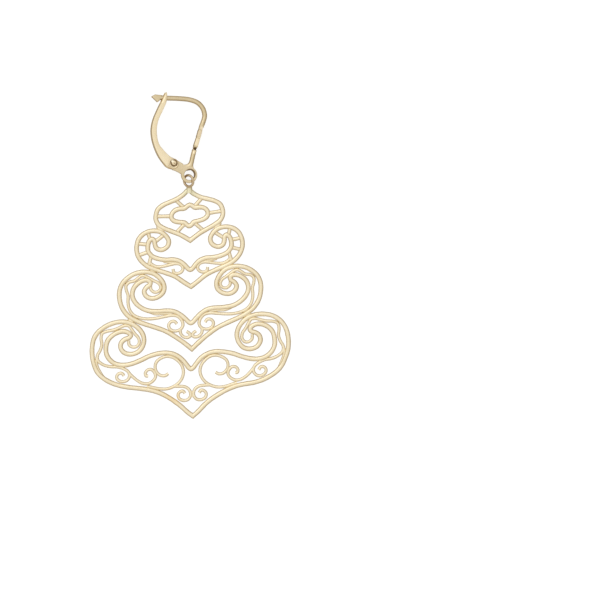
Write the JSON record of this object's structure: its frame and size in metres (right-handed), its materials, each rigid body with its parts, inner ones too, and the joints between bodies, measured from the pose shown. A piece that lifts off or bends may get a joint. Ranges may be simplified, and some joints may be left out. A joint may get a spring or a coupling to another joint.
{
  "type": "chandelier earring",
  "caption": "Openwork chandelier earring: widening soldered tiers of scrolled wire hang by a ring from a hinged lever clasp whose channel lever swings open.",
  "frame": {"origin": "on the plane of the flat back, under the solder of the bail ring on the top point of the first tier", "axes": "+Y from the drop towards the clasp, +X to the right as seen from the front, +Z out of the front face"},
  "size_m": [0.0372, 0.0605, 0.0036],
  "materials": {
    "cast_gold": "polished pale yellow gold with a soft cast surface",
    "polished_gold": "polished pale yellow gold",
    "rivet_gold": "polished yellow gold, a little darker"
  },
  "bodies": {
    "earring": {"filigree_drop": "cast_gold", "ear_wire": "polished_gold", "hinge_rivet": "rivet_gold"},
    "lever": {"lever": "polished_gold"}
  },
  "joints": [
    {"name": "lever_hinge", "type": "hinge", "parent": "earring", "child": "lever", "pos_m": [-0.00291, 0.0046, 0.0019], "axis": [0.2079, 0, 0.9781], "range_deg": [0, 75]}
  ]
}
